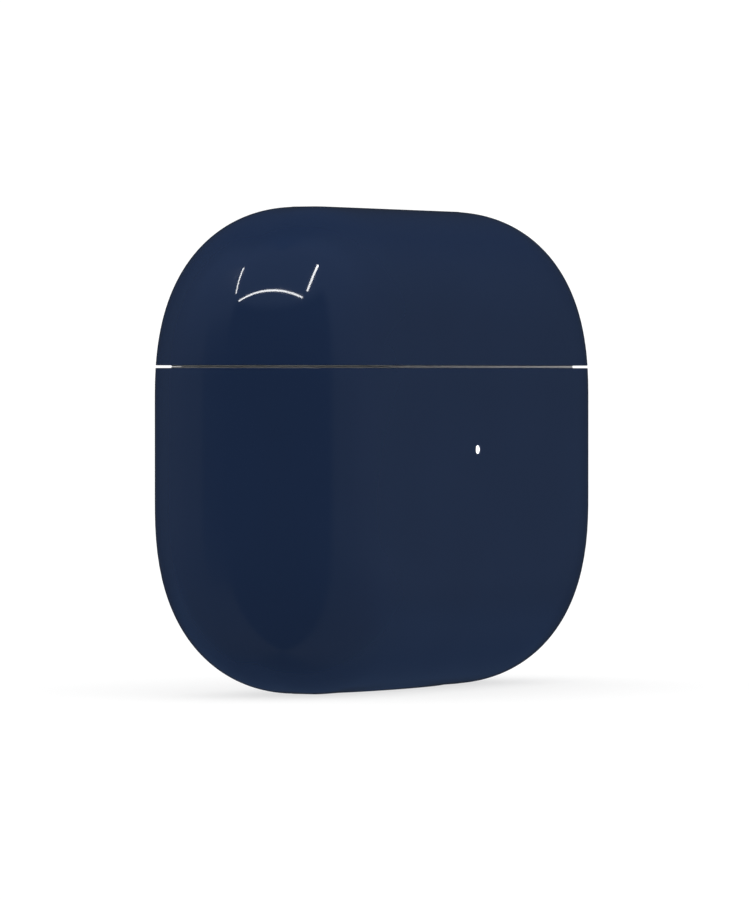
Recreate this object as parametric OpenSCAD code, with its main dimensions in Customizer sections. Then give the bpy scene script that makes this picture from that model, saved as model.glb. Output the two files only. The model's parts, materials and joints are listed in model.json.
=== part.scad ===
// Wireless earbuds charging case.
// It stands on its base at z = 0 with its front towards -Y and its hinge and button towards +Y.
// The origin is at the middle of the base, under the centre of the case.

/* [Case] */
// Overall width of the case
case_w = 60.6; // [59.6:0.1:61.6]
// Overall depth from the front face to the back face
case_d = 21.7; // [21.7:0.1:22.3]
// Overall height
case_h = 45.2; // [44.8:0.1:45.6]
// Size of the rounded corners of the front outline
corner_r = 17.8; // [17.2:0.1:18.2]
// Fullness of those corners, where 2 is a true circle
corner_pow = 2.4; // [2.2:0.05:2.6]
// How far the rounded edge runs in from the outline
edge_w = 10.8; // [10.4:0.1:11]
// Half-width of the flat band round the edge
edge_flat = 1; // [0.8:0.1:1.2]
// Wall thickness of both shells
wall = 1.35; // [1.2:0.05:1.4]

/* [Seam] */
// Height of the seam between the body and the lid
seam_z = 30.35; // [30.2:0.05:30.5]
// Width of the seam gap between the two shells
seam_gap = 0.24; // [0.2:0.02:0.3]
// Chamfer on the shells' rims
rim_lip = 0.12; // [0.08:0.02:0.16]
// Clearance between each shell and its insert
insert_gap = 0.1; // [0.05:0.05:0.15]
// Wall of the cradle and of the lid liner
insert_wall = 0.9; // [0.8:0.05:1]
// Thickness of the cradle's and the liner's decks
deck_t = 1.2; // [1:0.1:1.4]

/* [Wells] */
// Distance from the middle to each head pocket
head_x = 17.2; // [17:0.1:17.4]
// Radius of the head pockets
head_r = 7.5; // [7.3:0.1:7.5]
// Height of the head pockets' spherical centres in the cradle
head_z = 24.5; // [24.3:0.1:24.7]
// Height of the domed pockets' centres in the lid
dome_z = 34.5; // [34.2:0.1:34.6]
// Distance from the middle to each stem well
stem_x = 9.2; // [9.1:0.1:9.3]
// Radius of the stem wells
stem_r = 3.4; // [3.2:0.1:3.5]
// Height of the stem wells' floors
stem_floor = 8.5; // [8.4:0.1:8.6]

/* [Hinge] */
// Radius of the hinge barrel
barrel_r = 1.15; // [1.1:0.05:1.2]
// Half-length of the whole barrel
barrel_half = 18; // [17:0.5:18]
// Half-length of the lid's knuckle
knuckle_half = 5.8; // [5:0.1:6]
// Radius of the hinge pin
pin_r = 0.5; // [0.45:0.05:0.5]
// Clearance round the pin in the lid's knuckle
pin_gap = 0.03; // [0.02:0.01:0.05]
// Half-angle of the groove along the back that lets the lid open
groove_half_angle = 53.5; // [53:0.5:55]

/* [Button and light] */
// Height of the pairing button and of the charging coil round it
button_z = 18.5; // [18.3:0.1:18.7]
// Radius of the pairing button's cap
button_r = 3.9; // [3.7:0.1:4]
// Clearance round the cap
button_gap = 0.1; // [0.08:0.01:0.12]
// Height of the status light
light_z = 22.6; // [22.4:0.1:22.8]
// Radius of the status light
light_r = 0.4; // [0.35:0.05:0.45]

/* [Port] */
// Width of the charging socket's metal shell
port_w = 8.94; // [8.9:0.01:9]
// Thickness of the charging socket's metal shell
port_d = 3.26; // [3.2:0.01:3.3]
// Width of the metal trim round the socket
trim_w = 10.6; // [10.4:0.1:10.8]
// Depth of the metal trim round the socket
trim_d = 4.9; // [4.7:0.1:5]

/* [Hidden] */
SIDES = ["left", "right"];
PIN_PLACES = ["outer", "inner"];
PIN_NAMES = [for (s = SIDES) for (p = PIN_PLACES) str(s, "_", p, "_pin")];
SPRING_NAMES = [for (s = SIDES) for (p = PIN_PLACES) str(s, "_", p, "_spring")];

// Colours
navy = [0.13, 0.18, 0.27];
ivory = [0.9, 0.9, 0.88];
steel = [0.72, 0.73, 0.75];
gold = [0.85, 0.68, 0.32];
copper = [0.72, 0.42, 0.24];
board_green = [0.08, 0.3, 0.2];
dark = [0.12, 0.12, 0.13];
amber = [0.7, 0.45, 0.15];
magnet_grey = [0.5, 0.5, 0.52];

// Half sizes of the case
half_w = case_w / 2;
half_d = case_d / 2;
half_h = case_h / 2;
// A cut runs past the surface that it breaks by this much
over = 1;
round_fn = 48;

// Rings of the shells: steps round one quarter of a ring, up a curved end, and up the straight part
edge_steps = 14;
pole_steps = 10;
body_steps = 5;
lid_steps = 2;
// Least depth below an end at which a ring still has an area
pole_depth = 0.02;

// Rims and inserts
body_rim = seam_z - seam_gap / 2;
lid_rim = seam_z + seam_gap / 2;
cradle_rim = seam_z - 0.02;
liner_rim = seam_z + 0.015;
insert_off = wall + insert_gap;
cradle_skirt_low = 25;
liner_skirt_high = 35.5;
deck_under = cradle_rim - deck_t;
liner_deck_top = liner_rim + deck_t;
head_outer_r = head_r + insert_wall + 0.2;
dome_outer_r = head_r + insert_wall;
stem_outer_r = stem_r + insert_wall;
stem_tube_low = stem_floor - 1;

// Flat oval land on the base, round the port, and the slope that fairs it into the curved surface
land_w = 25;
land_d = 5.6;
land_flare = 1.75;
land_rise = 0.72;

// Hinge
axis_y = half_d - barrel_r;
axis_z = seam_z;
barrel_clear_r = barrel_r + 0.25;
groove_half_w = half_w - 3.5;
washer_t = 0.3;
knuckle_space = 0.4;
leaf_front = 8.5;
leaf_t = 0.6;
slot_half_w = barrel_half + 0.4;
slot_y = 8.35;
leaf_start = 1.2;
arm_near = 0.3;
arm_far = 1.3;
pin_end_wall = 0.4;
base_leaf_low = 25.9;
lid_leaf_high = 37;
base_screw = [13, 27.4];
lid_screw = [3.4, 34.6];
bracket_screw_tip = 6.9;
bracket_head_r = 0.85;
screw_block = 1.5;
screw_block_y = 6.4;

// Screws: shank, point and drive recess
screw_r = 0.45;
screw_point = 0.3;
drive_r = 0.3;
drive_t = 0.15;

// Boards
board_w = 16.4;
board_t = 0.8;
board_y = 4.8;
board_low = 6;
board_high = 27;
board_back = board_y + board_t;
board_screw_x = 6.9;
board_screw_zs = [10.5, 24];
board_screw_tip = 3.4;
board_head_r = 0.8;
board_head_t = 0.4;
board_boss_r = 1.1;
sensor_board_y = -7.9;
sensor_board_t = 0.6;
sensor_board_low = 20.5;
sensor_board_high = 28.6;
flex_t = 0.15;
led_t = 0.5;
port_board_z = 7.6;
port_board_t = 0.6;

// Button stack, from the outside in
cap_face = half_d - 0.1;
flange_r = button_r + 1;
flange_back = half_d - wall - 0.2;
flange_front = flange_back - 0.7;
pusher_tip = 7.15;
switch_back = board_back + 1.2;
switch_plunger_r = 0.6;

// Port
port_mouth = 0.35;
trim_low = 0.05;
seal_high = 2.35;
seal_w = 11.6;
seal_d = 5.9;
port_sheet = 0.3;
tongue_root = 6;
tongue_half_t = 0.35;

// Charging coil and its ferrite
coil_front = 8.3;
coil_back = 9.25;
coil_inner_r = 5.4;
coil_outer_r = 9.4;
coil_turns = 5;
coil_end_angle = 7;
ferrite_front = 7.85;

// Cells
cell_x = [14, 21.4];
cell_half_d = 5.3;
cell_z = [5.6, 15.4];
tape_x = 13.6;
cell_rest_half = 3;

// Magnets
magnet_r = 2;
magnet_h = 2;
magnet_xy = [6.2, -6.3];
bar_seat_y = -4.1;
bar_half_w = 1.5;
bar_t = 1.5;
bar_z = [11, 17];

// Charging contacts
pin_space = 1.2;
plunger_r = 0.45;
plunger_hole_r = 0.5;
plunger_tip = 9.2;
plunger_flange_r = 0.6;
plunger_flange_z = [6.9, 7.4];
block_z = [4.6, stem_tube_low];
block_half = [2.6, 1.8];
barrel_hole_r = 0.66;
spring_low = 5.2;
spring_r = 0.45;
spring_wire_r = 0.08;
spring_turns = 4;

// ---- Form of the case ----

// Half-width of the front outline at height z from the middle, for an edge inset s and an offset off
function outline_x(z, s, off) =
    let (r = corner_r - off - s, u = (z - half_h + corner_r) / r)
    u <= 0 ? half_w - off - s : half_w - corner_r + r * pow(max(0, 1 - pow(u, corner_pow)), 1 / corner_pow);

// One quarter of the horizontal section at height z from the middle, from the side to the flat face
function quarter(z, off) =
    let (
        w = edge_w - off,
        bulge = half_d - off - edge_flat,
        depth = max(half_h - off - abs(z), pole_depth),
        reach = depth >= w ? 90 : acos(1 - depth / w),
        crowd = 1 - min(1, depth / w)
    )
    [for (i = [0:edge_steps])
        let (
            u = i / edge_steps,
            a = reach * ((1 - crowd) * u + crowd * sin(90 * u)),
            s = w * (1 - cos(a))
        )
        [outline_x(half_h - off - depth, s, off), edge_flat + bulge * sin(a)]
    ];

// A whole horizontal section at height z above the base, counter-clockwise from above
function ring(z, off) =
    let (q = quarter(z - half_h, off), back = [for (i = [edge_steps:-1:0]) q[i]])
    concat(
        [for (p = q) [p.x, p.y, z]],
        [for (p = back) [-p.x, p.y, z]],
        [for (p = q) [-p.x, -p.y, z]],
        [for (p = back) [p.x, -p.y, z]]
    );

// Depths below an end of the case at which its curved part takes a ring
function pole_depths(off) = [for (k = [0:pole_steps]) (edge_w - off) * (1 - cos(90 * k / pole_steps))];

// Heights of the rings from the base up to a rim, and from the top down to one
function base_heights(off, rim) =
    let (start = edge_w)
    concat(
        [for (d = pole_depths(off)) off + d],
        [for (k = [1:body_steps]) start + (rim - start) * k / body_steps]
    );
function top_heights(off, rim) =
    let (start = case_h - edge_w)
    concat(
        [for (d = pole_depths(off)) case_h - off - d],
        [for (k = [1:lid_steps]) start + (rim - start) * k / lid_steps]
    );

function reversed(list) = [for (i = [len(list) - 1:-1:0]) list[i]];
function even_steps(low, high, n) = [for (k = [0:n]) low + (high - low) * k / n];

// A closed solid through a list of rings that all have the same number of points
module loft(rings) {
    n = len(rings[0]);
    last = len(rings) - 1;
    polyhedron(
        points = [for (r = rings) each r],
        faces = concat(
            [[for (i = [0:n - 1]) i]],
            [[for (i = [n - 1:-1:0]) last * n + i]],
            [for (j = [0:last - 1]) for (i = [0:n - 1])
                let (k = (i + 1) % n)
                each [[j * n + i, (j + 1) * n + i, (j + 1) * n + k], [j * n + i, (j + 1) * n + k, j * n + k]]
            ]
        ),
        convexity = 4
    );
}

// A solid slice of the case's form between two heights
module slice(low, high, off, steps = 3) {
    loft([for (z = even_steps(low, high, steps)) ring(z, off)]);
}

// ---- Shared shapes ----

module both_sides() {
    children();
    mirror([1, 0, 0]) children();
}

// A cylinder along Y from y0 to y1
module y_cylinder(x, z, y0, y1, r) {
    translate([x, y1, z]) rotate([90, 0, 0]) cylinder(h = y1 - y0, r = r, $fn = round_fn);
}

// A cylinder along X from x0 to x1, on the hinge axis
module axis_cylinder(x0, x1, r) {
    translate([x0, axis_y, axis_z]) rotate([0, 90, 0]) cylinder(h = x1 - x0, r = r, $fn = round_fn);
}

// A box between two corners
module span(low, high) {
    translate(low) cube(high - low);
}

// Outline of a rectangle with round corners, counter-clockwise
function rounded_points(w, h, r, steps = 8) =
    [for (q = [0:3]) for (k = [0:steps])
        let (sx = q == 0 || q == 3 ? 1 : -1, sy = q < 2 ? 1 : -1, a = 90 * (q + k / steps))
        [sx * (w / 2 - r) + r * cos(a), sy * (h / 2 - r) + r * sin(a)]
    ];

// Outline of a slot with round ends
function slot_points(w, d) = rounded_points(w, d, d / 2 - 0.01, 12);

// A polygon with round corners
module rounded_rect(w, h, r) {
    polygon(rounded_points(w, h, r));
}

// A rounded slot shape standing on height low
module slot(w, d, low, high) {
    translate([0, 0, low]) linear_extrude(high - low) polygon(slot_points(w, d));
}

// A revolved cup: a straight wall with a spherical end, below its centre or above it
module round_ended(r, centre_z, end_z) {
    up = end_z > centre_z ? 1 : -1;
    arc_steps = 12;
    arc = [for (k = [0:arc_steps]) [r * sin(90 * k / arc_steps), centre_z - up * r * cos(90 * k / arc_steps)]];
    rotate_extrude($fn = 64) polygon(concat(arc, [[r, end_z], [0, end_z]]));
}

// Profile of a screw from its head's face to its point, with a round drive recess if it has a depth
function screw_profile(head_r, head_t, cone_t, length, drive_t) = concat(
    [[head_r, 0], [head_r, head_t], [screw_r, head_t + cone_t], [screw_r, length - screw_point], [screw_r / 3, length]],
    drive_t > 0 ? [[0, length], [0, drive_t], [drive_r, drive_t], [drive_r, 0]] : [[0, length], [0, 0]]
);

// A screw along Y whose head's face is at y = face
module y_screw(x, z, face, profile) {
    translate([x, face, z]) rotate([90, 0, 0]) rotate_extrude($fn = 32) polygon(profile);
}

// The countersunk screws of the hinge's brackets, and the seats that hold them
module bracket_screws(at, drive_t) {
    face = leaf_front + leaf_t;
    head_edge = 0.02;
    head_cone = 0.38;
    both_sides() y_screw(at.x, at.y, face,
        screw_profile(bracket_head_r, head_edge, head_cone, face - bracket_screw_tip, drive_t));
}

// ---- Shells ----

// The wedge and the barrel's clearance that are cut along the back of both shells
module hinge_relief() {
    depth = half_d - axis_y + over;
    rise = depth * tan(groove_half_angle);
    translate([-groove_half_w, axis_y, axis_z]) rotate([90, 0, 90])
        linear_extrude(2 * groove_half_w) polygon([[0, 0], [depth, -rise], [depth, rise]]);
    axis_cylinder(-slot_half_w, slot_half_w, barrel_clear_r);
}

// The land, widening upwards into the shell's curved surface
module base_land() {
    turns = even_steps(0, 360, 64);
    loft([for (step = [0, 1])
        let (half_x = land_w / 2 + step * land_flare, half_y = land_d / 2 + step * land_flare)
        [for (i = [0:len(turns) - 2]) [half_x * cos(turns[i]), half_y * sin(turns[i]), step * land_rise]]
    ]);
}

module body_shell() {
    outer = [for (z = base_heights(0, body_rim - rim_lip)) ring(z, 0)];
    inner = [for (z = base_heights(wall, body_rim)) ring(z, wall)];
    color(navy) difference() {
        union() {
            loft(concat(outer, [ring(body_rim, rim_lip)], reversed(inner)));
            base_land();
        }
        slot(trim_w, trim_d, -over, wall + over);
        slot(seal_w, seal_d, wall, wall + over);
        hinge_relief();
        y_cylinder(0, button_z, half_d - wall - over, half_d + over, button_r + button_gap);
        y_cylinder(0, light_z, -half_d - over, -half_d + wall + over, light_r);
    }
}

module lid_shell() {
    outer = [for (z = top_heights(0, lid_rim + rim_lip)) ring(z, 0)];
    inner = [for (z = top_heights(wall, lid_rim)) ring(z, wall)];
    color(navy) difference() {
        loft(concat(inner, [ring(lid_rim, rim_lip)], reversed(outer)));
        hinge_relief();
    }
}

// ---- Inserts ----

// The slot at the back of an insert that the hinge's leaves and knuckles fill
module hinge_slot(low, high) {
    span([-slot_half_w, slot_y, low], [slot_half_w, half_d, high]);
    axis_cylinder(-slot_half_w, slot_half_w, barrel_clear_r);
}

module cradle_solid() {
    difference() {
        slice(cradle_skirt_low, cradle_rim, insert_off);
        slice(cradle_skirt_low - over, deck_under, insert_off + insert_wall);
    }
    both_sides() {
        translate([head_x, 0, 0]) round_ended(head_outer_r, head_z, cradle_rim);
        translate([stem_x, 0, stem_tube_low])
            cylinder(h = cradle_rim - stem_tube_low, r = stem_outer_r, $fn = round_fn);
        for (z = board_screw_zs) y_cylinder(board_screw_x, z, board_screw_tip - 0.6, board_y, board_boss_r);
        span([stem_x + stem_r + 0.4, -cell_rest_half, 8], [tape_x, cell_rest_half, 15]);
        span([base_screw.x - screw_block, screw_block_y, base_screw.y - screw_block],
            [base_screw.x + screw_block, slot_y + 0.15, deck_under + 0.1]);
    }
    span([-1.6, sensor_board_y + sensor_board_t, 23.5], [1.6, -6.5, deck_under + 0.1]);
}

module cradle() {
    color(ivory) difference() {
        cradle_solid();
        hinge_slot(base_screw.y + screw_block, cradle_rim + over);
        span([-slot_half_w, leaf_front, cradle_skirt_low - over], [slot_half_w, half_d, cradle_rim]);
        both_sides() {
            translate([head_x, 0, 0]) round_ended(head_r, head_z, cradle_rim + over);
            translate([stem_x, 0, stem_floor])
                cylinder(h = cradle_rim - stem_floor + over, r = stem_r, $fn = round_fn);
            for (dx = [-pin_space, pin_space]) translate([stem_x + dx, 0, stem_tube_low - over])
                cylinder(h = stem_floor - stem_tube_low + 2 * over, r = plunger_hole_r, $fn = round_fn);
            for (z = board_screw_zs) y_cylinder(board_screw_x, z, board_screw_tip, board_y + over, screw_r);
            y_cylinder(base_screw.x, base_screw.y, bracket_screw_tip, half_d, screw_r);
            span([stem_x - bar_half_w, bar_seat_y - bar_t - over, bar_z[0]], [stem_x + bar_half_w, bar_seat_y, bar_z[1]]);
        }
    }
}

module lid_liner() {
    color(ivory) difference() {
        union() {
            difference() {
                slice(liner_rim, liner_skirt_high, insert_off);
                slice(liner_deck_top, liner_skirt_high + over, insert_off + insert_wall);
            }
            both_sides() translate([head_x, 0, 0]) round_ended(dome_outer_r, dome_z, liner_rim);
            span([-5.4, 5.8, liner_deck_top - 0.1], [5.4, leaf_front, lid_screw.y + 1.6]);
        }
        hinge_slot(liner_rim - over, axis_z + 1.6);
        span([-slot_half_w, leaf_front, liner_rim - over], [slot_half_w, half_d, liner_skirt_high + over]);
        both_sides() {
            translate([head_x, 0, 0]) round_ended(head_r, dome_z, liner_rim - over);
            y_cylinder(lid_screw.x, lid_screw.y, bracket_screw_tip, half_d, screw_r);
        }
    }
}

// ---- Hinge ----

module hinge_base_bracket() {
    inner_end = knuckle_half + knuckle_space;
    color(steel) both_sides() difference() {
        union() {
            axis_cylinder(inner_end, barrel_half, barrel_r);
            span([inner_end, leaf_front, axis_z - arm_far], [barrel_half, axis_y, axis_z - arm_near]);
            span([inner_end, leaf_front, base_leaf_low], [barrel_half, leaf_front + leaf_t, axis_z - leaf_start]);
        }
        axis_cylinder(inner_end - over, barrel_half - pin_end_wall, pin_r);
        bracket_screws(base_screw, 0);
    }
}

module hinge_lid_bracket() {
    color(steel) difference() {
        union() {
            axis_cylinder(-knuckle_half, knuckle_half, barrel_r);
            span([-knuckle_half, leaf_front, axis_z + arm_near], [knuckle_half, axis_y, axis_z + arm_far]);
            span([-knuckle_half, leaf_front, axis_z + leaf_start], [knuckle_half, leaf_front + leaf_t, lid_leaf_high]);
        }
        axis_cylinder(-knuckle_half - over, knuckle_half + over, pin_r + pin_gap);
        bracket_screws(lid_screw, 0);
    }
}

module hinge_pin() {
    color(steel) axis_cylinder(-barrel_half + pin_end_wall, barrel_half - pin_end_wall, pin_r);
}

module hinge_washers() {
    start = knuckle_half + (knuckle_space - washer_t);
    color(gold) both_sides() difference() {
        axis_cylinder(start, start + washer_t, barrel_r - 0.1);
        axis_cylinder(start - over, start + over, pin_r);
    }
}

module base_bracket_screws() {
    color(steel) bracket_screws(base_screw, drive_t);
}

module lid_bracket_screws() {
    color(steel) bracket_screws(lid_screw, drive_t);
}

// ---- Pairing button ----

module pairing_button() {
    pusher_r = 1.2;
    edge = 0.25;
    dish = 0.15;
    color(navy) translate([0, 0, button_z]) rotate([-90, 0, 0]) rotate_extrude($fn = 64)
        polygon([[0, pusher_tip], [pusher_r, pusher_tip], [pusher_r, flange_front], [flange_r, flange_front],
            [flange_r, flange_back], [button_r, flange_back], [button_r, cap_face - edge],
            [button_r - edge, cap_face], [0, cap_face - dish]]);
}

module button_gasket() {
    color(dark) difference() {
        y_cylinder(0, button_z, flange_back, half_d - wall, flange_r);
        y_cylinder(0, button_z, flange_back - over, half_d, button_r + button_gap);
    }
}

module tact_switch() {
    half = 1.5;
    floor_t = 0.4;
    color(dark) difference() {
        span([-half, board_back, button_z - half], [half, switch_back, button_z + half]);
        y_cylinder(0, button_z, board_back + floor_t, switch_back + over, switch_plunger_r + 0.03);
    }
}

module switch_plunger() {
    color(ivory) y_cylinder(0, button_z, switch_back - 0.4, pusher_tip, switch_plunger_r);
}

// ---- Status light and lid sensor ----

module light_pipe() {
    inner_face = -half_d + wall;
    flange_r = 2 * light_r;
    color("white") {
        y_cylinder(0, light_z, -half_d + 0.02, inner_face, light_r);
        y_cylinder(0, light_z, inner_face, sensor_board_y - led_t, flange_r);
    }
}

module status_led() {
    half = 0.5;
    color("white") span([-half, sensor_board_y - led_t, light_z - half], [half, sensor_board_y, light_z + half]);
}

module sensor_board() {
    half_w = 2.6;
    color(board_green) span([-half_w, sensor_board_y, sensor_board_low],
        [half_w, sensor_board_y + sensor_board_t, sensor_board_high]);
}

module hall_sensor() {
    half_w = 0.8;
    thick = 0.45;
    z = [26.6, 28];
    color(dark) span([-half_w, sensor_board_y - thick, z[0]], [half_w, sensor_board_y, z[1]]);
}

module sensor_flex() {
    half_w = 1.5;
    front = sensor_board_y + 0.2;
    bend_z = sensor_board_low - 0.8;
    color(amber) {
        span([-half_w, front, bend_z], [half_w, front + flex_t, sensor_board_low]);
        span([-half_w, front, bend_z - flex_t], [half_w, board_y, bend_z]);
    }
}

// ---- Boards ----

module main_board() {
    color(board_green) difference() {
        span([-board_w / 2, board_y, board_low], [board_w / 2, board_back, board_high]);
        both_sides() for (z = board_screw_zs) y_cylinder(board_screw_x, z, board_y - over, board_back + over, screw_r);
    }
}

module board_screws() {
    face = board_back + board_head_t;
    length = face - board_screw_tip - 0.1;
    color(steel) both_sides() for (z = board_screw_zs)
        y_screw(board_screw_x, z, face, screw_profile(board_head_r, board_head_t, 0, length, drive_t));
}

module shield_can() {
    half_w = 5;
    high = 1.2;
    z = [8, 14.5];
    sheet = 0.2;
    color(steel) translate([0, board_back, 0]) difference() {
        span([-half_w, 0, z[0]], [half_w, high, z[1]]);
        span([sheet - half_w, -over, z[0] + sheet], [half_w - sheet, high - sheet, z[1] - sheet]);
    }
}

module board_chips() {
    // The left, right, low, high and thickness of each chip
    chips = [
        [-4.2, -0.8, 21.6, 25, 0.8],
        [0.6, 3.4, 22, 24.8, 0.7],
        [-3.2, 0.6, 9.4, 13.2, 0.8],
        [1.6, 4, 9.8, 12.2, 0.6],
    ];
    color(dark) for (c = chips) span([c[0], board_back, c[2]], [c[1], board_back + c[4], c[3]]);
}

module port_board() {
    half_w = 4.6;
    front = -2.5;
    color(board_green) span([-half_w, front, port_board_z], [half_w, board_y, port_board_z + port_board_t]);
}

// ---- Charging port ----

module usb_receptacle() {
    color(steel) difference() {
        slot(port_w, port_d, port_mouth, port_board_z);
        slot(port_w - 2 * port_sheet, port_d - 2 * port_sheet, port_mouth - over, port_board_z - port_sheet);
    }
}

module usb_tongue() {
    half_w = 3.35;
    color(dark) {
        slot(port_w - 2 * port_sheet, port_d - 2 * port_sheet, tongue_root, port_board_z - port_sheet);
        span([-half_w, -tongue_half_t, 1.4], [half_w, tongue_half_t, tongue_root]);
    }
}

module usb_contacts() {
    strip_w = 0.28;
    strip_t = 0.05;
    strip_low = 1.9;
    pitch = 0.75;
    count = 8;
    color(gold) for (side = [-1, 1]) for (i = [0:count - 1]) {
        x = (i - (count - 1) / 2) * pitch;
        near = side * tongue_half_t;
        far = side * (tongue_half_t + strip_t);
        span([x - strip_w / 2, min(near, far), strip_low], [x + strip_w / 2, max(near, far), tongue_root]);
    }
}

module port_trim() {
    color(steel) difference() {
        slot(trim_w, trim_d, trim_low, wall);
        slot(port_w, port_d, trim_low - over, wall + over);
    }
}

module port_gasket() {
    color(dark) difference() {
        slot(seal_w, seal_d, wall, seal_high);
        slot(port_w, port_d, wall - over, seal_high + over);
    }
}

// ---- Cells ----

module cell() {
    mid_x = (cell_x[0] + cell_x[1]) / 2;
    corner_r = 1.6;
    translate([mid_x, 0, cell_z[0]]) linear_extrude(cell_z[1] - cell_z[0])
        rounded_rect(cell_x[1] - cell_x[0], 2 * cell_half_d, corner_r);
}

module left_battery() {
    color(magnet_grey) mirror([1, 0, 0]) cell();
}

module right_battery() {
    color(magnet_grey) cell();
}

module battery_tape() {
    half_w = 2.6;
    z = [8.4, 14.6];
    color(dark) both_sides() span([tape_x, -half_w, z[0]], [cell_x[0], half_w, z[1]]);
}

module battery_leads() {
    lead_z = [11.8, 13];
    lead_y = [5.5, 5.65];
    tab_x = [16, 17];
    color(amber) both_sides() {
        span([board_w / 2, lead_y[0], lead_z[0]], [tab_x[1], lead_y[1], lead_z[1]]);
        span([tab_x[0], cell_half_d, lead_z[0]], [tab_x[1], lead_y[0], lead_z[1]]);
    }
}

// ---- Wireless charging ----

// A flat spiral from its inner lead round to its outer lead
module charging_coil() {
    pitch = (coil_outer_r - coil_inner_r) / (coil_turns + 1);
    strip_w = pitch - 0.1;
    start = -90 - coil_end_angle;
    turns = even_steps(0, 360 * coil_turns + 2 * coil_end_angle, coil_turns * 40);
    inner = [for (a = turns) (coil_inner_r + pitch * a / 360) * [cos(start + a), sin(start + a)]];
    outer = [for (a = turns) (coil_inner_r + pitch * a / 360 + strip_w) * [cos(start + a), sin(start + a)]];
    color(copper) translate([0, coil_back, button_z]) rotate([90, 0, 0])
        linear_extrude(coil_back - coil_front) polygon(concat(outer, reversed(inner)));
}

module coil_ferrite() {
    margin = 0.2;
    color(dark) difference() {
        y_cylinder(0, button_z, ferrite_front, coil_front, coil_outer_r + margin);
        y_cylinder(0, button_z, ferrite_front - over, coil_front + over, coil_inner_r - margin);
    }
}

// Both leads run down to the main board. The inner one first crosses the turns behind the coil
module coil_leads() {
    lead_x = [0.6, 1];
    lead_y = [8.35, 8.55];
    lead_z = 7.1;
    lead_t = 0.2;
    lead_top = button_z - coil_outer_r + 0.05;
    cross_low = lead_top - 0.1;
    cross_high = button_z - coil_inner_r - 0.15;
    cross_y = [coil_back + 0.005, coil_back + 0.055];
    color(copper) {
        both_sides() {
            span([lead_x[0], lead_y[0], lead_z], [lead_x[1], lead_y[1], lead_top]);
            span([lead_x[0], board_back, lead_z - lead_t], [lead_x[1], lead_y[1], lead_z]);
        }
        span([-lead_x[1], lead_y[0], cross_low], [-lead_x[0], cross_y[1], lead_top]);
        span([-lead_x[1], cross_y[0], cross_low], [-lead_x[0], cross_y[1], cross_high]);
    }
}

// ---- Magnets ----

module disc_magnets(low) {
    color(magnet_grey) both_sides() translate([magnet_xy.x, magnet_xy.y, low])
        cylinder(h = magnet_h, r = magnet_r, $fn = round_fn);
}

module base_magnets() {
    disc_magnets(deck_under - magnet_h);
}

module lid_magnets() {
    disc_magnets(liner_deck_top);
}

module earbud_magnets() {
    color(magnet_grey) both_sides()
        span([stem_x - bar_half_w, bar_seat_y - bar_t, bar_z[0]], [stem_x + bar_half_w, bar_seat_y, bar_z[1]]);
}

// ---- Charging contacts ----

module contact_block(side) {
    x = side * stem_x;
    color(dark) difference() {
        span([x - block_half.x, -block_half.y, block_z[0]], [x + block_half.x, block_half.y, block_z[1]]);
        for (dx = [-pin_space, pin_space]) translate([x + dx, 0, spring_low])
            cylinder(h = block_z[1] - spring_low + over, r = barrel_hole_r, $fn = round_fn);
    }
}

module contact_pin(x) {
    low = plunger_flange_z[0];
    step = plunger_flange_z[1] - low;
    high = plunger_tip - low;
    bevel = 0.2;
    color(gold) translate([x, 0, low]) rotate_extrude($fn = 32)
        polygon([[0, 0], [plunger_flange_r, 0], [plunger_flange_r, step], [plunger_r, step],
            [plunger_r, high - bevel], [plunger_r - bevel, high], [0, high]]);
}

// A helical spring from height low to height high, swept along its own wire
module coil_spring(x, low, high) {
    per_turn = 12;
    sides = 6;
    steps = spring_turns * per_turn;
    rise = high - low - 2 * spring_wire_r;
    rings = [for (k = [0:steps])
        let (a = 360 * k / per_turn, z = low + spring_wire_r + rise * k / steps)
        [for (i = [0:sides - 1])
            let (b = 360 * i / sides, r = spring_r + spring_wire_r * cos(b))
            [x + r * cos(a), r * sin(a), z + spring_wire_r * sin(b)]
        ]
    ];
    color(steel) loft([for (r = rings) reversed(r)]);
}

PIN_XS = [-stem_x - pin_space, -stem_x + pin_space, stem_x + pin_space, stem_x - pin_space];

body_shell();
lid_shell();
cradle();
lid_liner();
hinge_base_bracket();
hinge_lid_bracket();
hinge_pin();
hinge_washers();
base_bracket_screws();
lid_bracket_screws();
pairing_button();
button_gasket();
tact_switch();
switch_plunger();
light_pipe();
status_led();
sensor_board();
hall_sensor();
sensor_flex();
main_board();
board_screws();
shield_can();
board_chips();
port_board();
usb_receptacle();
usb_tongue();
usb_contacts();
port_trim();
port_gasket();
left_battery();
right_battery();
battery_tape();
battery_leads();
charging_coil();
coil_ferrite();
coil_leads();
base_magnets();
lid_magnets();
earbud_magnets();
contact_block(-1);  // left_contact_block
contact_block(1);  // right_contact_block
for (i = [0:3]) {
    contact_pin(PIN_XS[i]);
    coil_spring(PIN_XS[i], spring_low, plunger_flange_z[0]);
}
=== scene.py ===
"""Wireless earbuds charging case, closed and upright on a white studio floor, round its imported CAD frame."""

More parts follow.
